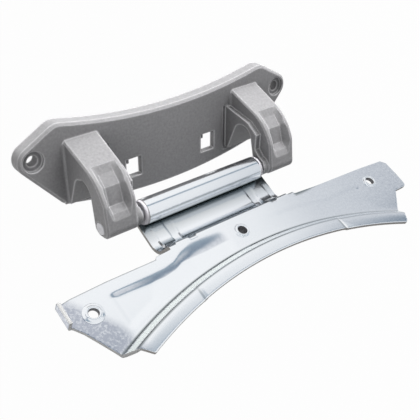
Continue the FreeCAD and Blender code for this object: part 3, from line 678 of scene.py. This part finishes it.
# Rows: round the upper edge's corner, down to the recess wall's top and foot lines and the rim, then
# one for each radius of the rim. Rows past the lower edge are drawn back onto it.
def plateRows(u, x):
    shape = plateShape
    upper = np.interp(u, *np.array(shape["upperEdge"]).T)
    lower = np.interp(u, *np.array(shape["leftEnd"] + shape["rightEnd"]).T)
    between = (u > shape["leftEnd"][-1][0]) & (u < shape["rightEnd"][0][0])
    lower = np.where(between, onArc(shape["free"], u), lower)
    freeFrom, freeCount = shape["freeRows"]
    radii = [np.linspace(*rows) for rows in (*shape["rimRows"], (freeFrom, shape["free"], freeCount))]
    arcs = onArc(np.concatenate(radii)[:, None], x[None, :])
    left, right = (recessLines(look, x, "top", "foot") for look in recesses)
    wallTop, wallFoot = np.where(x < 0, left, right)
    lines = (upper + shape["upperRound"], wallTop, wallFoot, arcs[0])
    parts = [
        first + np.linspace(0, 1, rows, endpoint=False)[:, None] * (last - first)
        for first, last, rows in zip(lines, lines[1:], shape["upperRows"])
    ]
    corner = upper + shape["upperRound"] * np.array(shape["roundRows"])[:, None]
    along = np.concatenate([corner] + parts + [arcs])
    fromUpper = along - upper
    clipped = along > lower - shape["leastRow"]
    lastRow = np.where(clipped.any(axis=0), clipped.argmax(axis=0), len(along) - 1)
    return np.minimum(np.where(clipped, lower, along), lower), upper, fromUpper, lastRow


# Rounded corner: how far the upper edge falls off beside its free ends, as a quarter circle
def cornerDrop(fromUpper):
    corner = plateShape["upperRound"]
    return corner * (1 - np.sqrt(1 - (1 - np.minimum(fromUpper / corner, 1)) ** 2))


# Holes: faces whose middle is nearer a hole's axis than the cut are left out, and the points
# inside the cut move out to it
def cutHoles(points, keep, x, along, height):
    shape = holeShape
    columnMiddle, rowMiddle = (x[:-1] + x[1:]) / 2, (along[1:, 1:] + along[:-1, :-1]) / 2
    for holeX, holeAlong, dish, depth in shape["places"]:
        keep &= np.hypot(columnMiddle[None, :] - holeX, rowMiddle - holeAlong) > shape["cut"]
        reach = np.hypot(x - holeX, along - holeAlong)
        push = shape["cut"] / np.clip(reach, shape["still"], shape["cut"])
        moved = fromPlate(holeX + (x - holeX) * push, holeAlong + (along - holeAlong) * push, height)
        points[:] = np.where((push > 1)[..., None], moved, points)


# Door plate: one sheet from the seam of the knuckle to the rim, as columns along the pin and rows
# across. The strip's rows come first, and the plate's rows join on.
def doorPlate():
    shape, marks = plateShape, plateMarks
    u, x, lift, onTab = plateColumns()
    along, upper, fromUpper, lastRow = plateRows(u, x)
    wide = np.broadcast_to(x, along.shape)
    free = (abs(x) > shape["troughHalf"]) & ~onTab
    height = np.where(onTab, shape["top"], plateHeightAt(wide, along)) + lift
    height = height - np.where(free, cornerDrop(fromUpper), 0)
    rolled, trough = stripLines(x)
    strip = np.concatenate([rolled, trough])
    stripX = np.broadcast_to(x, strip.shape[:2])
    stripPoints = fromPin(stripX, strip[..., 0], strip[..., 1])
    platePoints = fromPlate(wide, along, height)

    # Masks, over the strip and then over the plate
    satinAndReflection, bends = rampMasks(wide, along)
    stripTintAndReflection = marks["knuckle"]["tintAndReflection"] * softStep(stripX, *marks["knuckle"]["x"])
    masks = {
        "tintAndReflection": np.concatenate([stripTintAndReflection, np.where(onTab, 1, tintAndReflectionAt(wide, along))]),
        "creaseShade": np.concatenate([
            stripCreaseShade(x, len(rolled), len(trough)), np.maximum(bends, upperEdgeShade(x, along - upper)),
        ]),
        "satinAndReflection": np.concatenate([0 * stripX, satinAndReflection]),
    }

    # Faces: the strip is narrower, clipped rows shrink to points, and the holes are left out
    middle = (x[:-1] + x[1:]) / 2
    first, last = shape["knuckleEnds"]
    inKnuckle = np.broadcast_to((middle > first) & (middle < last), (len(rolled), len(middle)))
    inTrough = np.broadcast_to(abs(middle) < shape["troughHalf"], (len(trough), len(middle)))
    inPlate = np.ones((len(along) - 1, len(middle)), bool)
    cutHoles(platePoints, inPlate, x, along, height)
    points = np.concatenate([stripPoints, platePoints])
    rows = np.minimum(np.arange(len(points))[:, None], len(strip) + lastRow)
    faces = gridFaces(rows * len(x) + np.arange(len(x)), np.concatenate([inKnuckle, inTrough, inPlate]))
    piece = newPiece("door_plate_sheet", points.reshape(-1, 3), faces, "door_side", "plate_steel",
                     zinc, shearedEdge, marks=masks)
    solid = piece.modifiers.new("thickness", "SOLIDIFY")
    solid.thickness = shape["sheet"] / 1000
    solid.offset = -1
    solid.material_offset_rim = 1
    edge = softenEdges(piece, shape["edgeWidth"])
    edge.limit_method = "ANGLE"
    edge.angle_limit = np.radians(shape["edgeAngle"])
    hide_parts("door_plate")
    return piece


# Turned piece: rows of points once round an axis. They close on themselves, or run from pole to
# pole, where the first and last rows shrink to one point each.
def turned(name, points, body, slot, *materials, poles=False):
    numbers = np.arange(points.shape[0] * points.shape[1]).reshape(points.shape[:2])
    if poles:
        numbers[[0, -1]] = numbers[[0, -1], :1]
    else:
        numbers = np.concatenate([numbers, numbers[:1]])
    numbers = np.concatenate([numbers, numbers[:, :1]], axis=1)
    return newPiece(name, points.reshape(-1, 3), gridFaces(numbers, True), body, slot, *materials)


# Collar: a profile turned round the hole's axis, with the thread as a helix cut into its bore
def collar(name, holeX, holeAlong, dish, depth):
    shape, top, outer, bore = holeShape, plateShape["top"], holeShape["outer"], holeShape["bore"]
    crown, low = top + shape["rise"], top - depth

    # Corners of one part of the profile, moved out and up to where that part starts
    def corners(key, out, up):
        return [(out + aside, up + above) for aside, above in shape[key]]

    skirt = corners("skirt", outer, top)
    if dish:
        skirt = (corners("dishInner", outer, top + dish) + corners("dishOuter", shape["dish"], top + dish)
                 + corners("dishFoot", shape["dish"], top))
    above, below = shape["boreEnds"]
    height = np.linspace(low + above, crown - below, int((crown - low) / shape["rowStep"]))
    wall = [(bore + shape["thread"], place) for place in height]
    profile = np.array(
        wall + corners("mouth", bore, crown) + corners("crown", outer, crown) + skirt
        + corners("under", outer, top) + corners("sleeve", outer, low) + corners("entry", bore, low)
    )
    turns = np.linspace(0, 2 * np.pi, 96, endpoint=False)
    radius = profile[:, :1] + 0 * turns
    phase = height[:, None] / shape["pitch"] - turns / (2 * np.pi)
    radius[:len(height)] -= shape["thread"] * (0.5 + 0.5 * np.cos(2 * np.pi * phase))
    points = fromPlate(holeX + radius * np.cos(turns), holeAlong - radius * np.sin(turns), profile[:, 1:])
    piece = turned(name, points, "door_side", "plate_steel", zinc, threadSteel)
    inside = np.zeros((len(profile), len(turns)), int)
    inside[:len(height) - 1] = 1
    piece.data.polygons.foreach_set("material_index", inside.reshape(-1))


# Bush: a sleeve on the pin with a flange outside the knuckle, from x to x + side times its length
bushShape = {
    "bore": 3.05, "sleeve": 4.4, "flange": 5.65, "thick": 1.5, "deep": 9.0, "round": 0.25,
    "roundMiddle": 0.3, "gap": 0.02, "edge": 0.0001,
    "ends": {"bush_upper": (-34.0, -1), "bush_lower": (32.0, 1)},
}


# Bush profile: up the bore, over the flange with two points on its round, and back down the
# sleeve, each place counted outwards from the knuckle's end
def bushPiece(node, end, side):
    shape = bushShape
    bore, flange, thick, soft = shape["bore"], shape["flange"], shape["thick"], shape["round"]
    chord = soft * shape["roundMiddle"]
    profile = np.array([
        (bore, -shape["deep"]), (bore, thick - soft), (bore + soft, thick), (flange - soft, thick),
        (flange - chord, thick - chord), (flange, thick - soft), (flange, shape["gap"]),
        (shape["sleeve"], 0.0), (shape["sleeve"], -shape["deep"]),
    ])
    turns = np.linspace(0, 2 * np.pi, 96, endpoint=False) * side
    radius, place = profile[:, :1] + 0 * turns, end + side * profile[:, 1:] + 0 * turns
    points = fromPin(place, radius * np.cos(turns), radius * np.sin(turns))
    piece = turned(node + "_turned", points, "door_side", "bush_plastic", plastic)
    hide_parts(node)
    softenEdges(piece, shape["edge"])


# Pin: a rod with chamfered ends, each with a small drilled centre
pinShape = {
    "radius": 3.0, "half": 55.5, "chamfer": 0.4, "centre": 1.1, "drilled": 0.9, "lip": 0.05, "lipWide": 0.1,
}


# Pin profile: from the drilled centre over the lip and the chamfer, and the same mirrored
def pinPiece():
    shape = pinShape
    half, radius, chamfer = shape["half"], shape["radius"], shape["chamfer"]
    end = [(0.0, half - shape["drilled"]), (shape["centre"], half - shape["lip"]),
           (shape["centre"] + shape["lipWide"], half), (radius - chamfer, half), (radius, half - chamfer)]
    profile = np.array(end + [(out, -place) for out, place in reversed(end)])
    turns = np.linspace(0, 2 * np.pi, 64, endpoint=False)
    around, place = profile[:, :1] + 0 * turns, profile[:, 1:] - plateShape["shift"] + 0 * turns
    points = fromPin(place, around * np.cos(turns), around * np.sin(turns))
    piece = turned("hinge_pin_turned", points, "bracket", "pin_steel", pinSteel, poles=True)
    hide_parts("hinge_pin")


plate = doorPlate()
print("door plate made:", len(plate.data.polygons), "faces")
for name, place in zip(("collar_left", "collar_middle", "collar_right"), holeShape["places"]):
    collar(name, *place)
for node, (end, side) in bushShape["ends"].items():
    bushPiece(node, end, side)
pinPiece()
print("collars, bushes and pin made")

# Studio: a pale floor well below, a white world, three square lamps, and a tent that only
# reflections see: bright all round, with one dark band and a greyer lower end
studio = {
    "floorDrop": 0.80, "floorSize": 8.0, "floorColour": (0.93, 0.93, 0.93), "floorGlow": 0.98,
    "floorRoughness": 0.9, "worldLight": 0.135,
    "tentRadius": 0.45, "tentEnds": (-0.85, 0.70), "tentPlace": (-0.0267, -0.0307, 0.0),
    "tentGrey": (0.80, 0.82, 0.84), "tentFrom": -0.22, "tentTo": -0.52, "tentBlue": 0.12,
    # degrees round the pin from the cabinet's side towards the door opening, brightness
    "tentBands": (
        (-180, 0.90), (-166, 0.86), (-156, 0.74), (-136, 0.70), (-126, 1.0), (103, 1.0), (105.5, 0.30),
        (113, 0.30), (117, 0.93), (150, 0.92), (180, 0.90),
    ),
    # name, direction from the part, distance, size, watts
    "lamps": (
        ("over", (0.90, -0.05, -0.38), 0.9, 0.6, 11.8),
        ("back", (0.55, 0.75, 0.25), 0.9, 0.5, 1.5),
        ("front", (0.15, -0.42, 0.90), 0.5, 0.35, 0.53),
    ),
    "cameraPlace": (0.12918, -0.24706, 0.17446),
    "cameraRight": (0.003909, -0.637126, -0.770750),
    "cameraUp": (0.856488, 0.399964, -0.326278),
    "cameraForward": (-0.516152, 0.658863, -0.547254),
    "lens": 58.245, "sensor": 36.0,
}


# Seen straight, mirrored or through glass: 1 for a camera, glossy or transmission ray
def seenByEye(tree):
    path = addNode(tree, "ShaderNodeLightPath")
    mirrored = reckon(tree, "MAXIMUM", path.outputs["Is Glossy Ray"], path.outputs["Is Transmission Ray"])
    return reckon(tree, "MAXIMUM", path.outputs["Is Camera Ray"], mirrored)


# Mix of two shaders by a factor, into the output
def mixShaders(tree, factor, first, second, output):
    mix = addNode(tree, "ShaderNodeMixShader")
    link(tree, factor, mix.inputs[0])
    link(tree, first.outputs[0], mix.inputs[1])
    link(tree, second.outputs[0], mix.inputs[2])
    link(tree, mix.outputs[0], output.inputs[0])


# World: white where it is seen, and the world's light where it only lights
def makeWorld():
    world = bpy.data.worlds.new("studio")
    bpy.context.scene.world = world
    world.use_nodes = True
    tree = world.node_tree
    tree.nodes.clear()
    light, white = (
        setInputs(addNode(tree, "ShaderNodeBackground"), Color=(1, 1, 1, 1), Strength=strength)
        for strength in (studio["worldLight"], 1.0)
    )
    mixShaders(tree, seenByEye(tree), light, white, addNode(tree, "ShaderNodeOutputWorld"))


# Floor: a square as far below the part as its drop, glowing white by its share where it is seen
def makeFloor():
    low = cadBox[0].z - studio["floorDrop"]
    half = studio["floorSize"] / 2
    mesh = bpy.data.meshes.new("floor")
    mesh.from_pydata([(-half, -half, low), (half, -half, low), (half, half, low), (-half, half, low)], [],
                     [(0, 1, 2, 3)])
    floor = newObject("floor", mesh)
    material, tree, shader = newMaterial("pale floor")
    setInputs(shader, Base_Color=(*studio["floorColour"], 1), Roughness=studio["floorRoughness"])
    glow = setInputs(addNode(tree, "ShaderNodeEmission"), Color=(1, 1, 1, 1), Strength=1.0)
    factor = reckon(tree, "MULTIPLY", seenByEye(tree), studio["floorGlow"])
    mixShaders(tree, factor, shader, glow, tree.nodes["Material Output"])
    mesh.materials.append(material)


# Grey with more blue the darker it is
def tinted(level):
    lean = studio["tentBlue"] * (1 - level)
    return level - lean, level, level + lean, 1


# Tent glow: the bands' brightness by the angle round the pin, times a grey that grows downwards
def tentMaterial():
    material, tree, shader = newMaterial("tent")
    tree.nodes.remove(shader)
    place = addNode(tree, "ShaderNodeTexCoord")
    split = addNode(tree, "ShaderNodeSeparateXYZ")
    link(tree, place.outputs["Object"], split.inputs[0])
    angle = reckon(tree, "ARCTAN2", split.outputs["X"], split.outputs["Y"])
    ramp = addNode(tree, "ShaderNodeValToRGB")
    link(tree, reckon(tree, "ADD", reckon(tree, "DIVIDE", angle, 2 * np.pi), 0.5), ramp.inputs[0])
    bands, stops = studio["tentBands"], ramp.color_ramp.elements
    stops[0].color = tinted(bands[0][1])
    stops[1].color = tinted(bands[-1][1])
    for degrees, level in bands[1:-1]:
        stops.new((degrees + 180) / 360).color = tinted(level)
    down = addNode(tree, "ShaderNodeMapRange", interpolation_type="SMOOTHSTEP")
    setInputs(down, From_Min=studio["tentFrom"], From_Max=studio["tentTo"])
    link(tree, split.outputs["Z"], down.inputs["Value"])
    tone = mixColours(tree, (1.0, 1.0, 1.0), studio["tentGrey"], down.outputs["Result"])
    blend = addNode(tree, "ShaderNodeMix", data_type="RGBA", blend_type="MULTIPLY")
    blend.inputs[0].default_value = 1.0
    link(tree, tone, blend.inputs[6])
    link(tree, ramp.outputs[0], blend.inputs[7])
    glow = addNode(tree, "ShaderNodeEmission")
    link(tree, blend.outputs[2], glow.inputs["Color"])
    link(tree, glow.outputs[0], tree.nodes["Material Output"].inputs[0])
    return material


# Tent: a tube about the pin, open at both ends, seen only in reflections
def makeTent():
    turns = np.linspace(0, 2 * np.pi, 64, endpoint=False)
    ring = studio["tentRadius"] * np.stack([np.cos(turns), np.sin(turns)], axis=1)
    points = np.concatenate([np.column_stack([ring, np.full(len(ring), end)]) for end in studio["tentEnds"]])
    here = np.arange(len(ring))
    following = (here + 1) % len(ring)
    faces = np.stack([here, following, following + len(ring), here + len(ring)], axis=1)
    mesh = bpy.data.meshes.new("tent")
    mesh.from_pydata(points, [], faces.tolist())
    mesh.materials.append(tentMaterial())
    tent = newObject("tent", mesh)
    tent.location = studio["tentPlace"]
    for ray in ("camera", "diffuse", "shadow", "transmission"):
        setattr(tent, "visible_" + ray, False)


# Lamps: squares at their distance and direction from the part's middle, turned towards it
def makeLamps():
    middle = (cadBox[0] + cadBox[1]) / 2
    for name, direction, distance, size, watts in studio["lamps"]:
        light = bpy.data.lights.new(name, "AREA")
        light.shape = "SQUARE"
        light.size = size
        light.energy = watts
        lamp = newObject(name, light)
        way = Vector(direction).normalized()
        lamp.location = middle + way * distance
        lamp.rotation_euler = way.to_track_quat("Z", "Y").to_euler()
        lamp.visible_glossy = False


# Camera: at its place, turned so that its right, up and forward lie as given
def makeCamera():
    data = bpy.data.cameras.new("camera")
    data.lens = studio["lens"]
    data.sensor_width = studio["sensor"]
    camera = newObject("camera", data)
    right, up, forward = (Vector(studio[key]) for key in ("cameraRight", "cameraUp", "cameraForward"))
    turn = Matrix((right, up, -forward)).transposed()
    camera.matrix_world = Matrix.Translation(Vector(studio["cameraPlace"])) @ turn.to_4x4()
    bpy.context.scene.camera = camera


makeWorld()
makeFloor()
makeTent()
makeLamps()
makeCamera()
bpy.context.scene.view_settings.view_transform = "Standard"
print("studio set")
